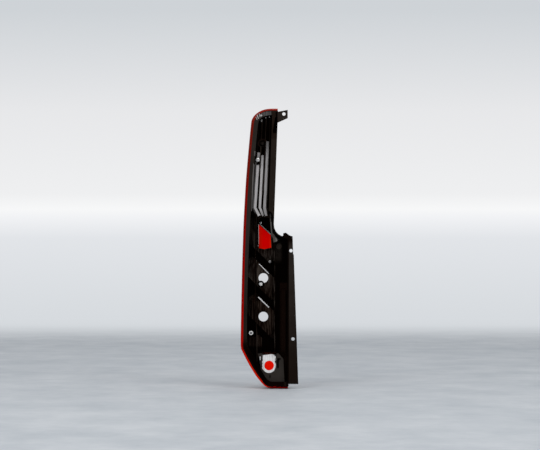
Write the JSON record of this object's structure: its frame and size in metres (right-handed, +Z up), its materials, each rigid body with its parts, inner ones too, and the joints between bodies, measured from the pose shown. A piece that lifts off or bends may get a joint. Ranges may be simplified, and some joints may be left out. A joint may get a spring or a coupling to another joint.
{
  "type": "rear lamp cluster",
  "caption": "Tall narrow rear lamp cluster for a van: black moulded housing with a side flange, open bulb apertures, and a red lens with a clear band.",
  "frame": {"origin": "midway between the two holes of the side flange, on the flange's back face", "axes": "+Z up along the lamp, -Y out of its back towards the vehicle, +X towards the side flange"},
  "size_m": [0.1505, 0.0959, 0.729],
  "materials": {
    "housing_plastic": "black moulded plastic, fine grain",
    "red_lens": "transparent red acrylic",
    "clear_lens": "clear acrylic",
    "seal": "soft black bead",
    "bezel": "gloss black",
    "reflex_red": "red prism plate",
    "metallised": "vacuum metallised plastic",
    "cap_plastic": "black moulded cap",
    "zinc": "zinc plated",
    "screw_steel": "zinc plated"
  },
  "bodies": {
    "root": {"housing": "housing_plastic", "red_lens": "red_lens", "clear_lens": "clear_lens", "lens_seal": "seal", "inner_bezel": "bezel", "reflex_insert": "reflex_red", "upper_reflector": "metallised", "stop_reflector": "metallised", "indicator_reflector": "metallised", "reversing_reflector": "metallised", "fog_reflector": "metallised", "breather_cap": "cap_plastic", "threaded_insert": "zinc", "upper_reflector_screw": "screw_steel", "stop_reflector_screws": "screw_steel", "indicator_reflector_screw": "screw_steel"}
  },
  "joints": []
}
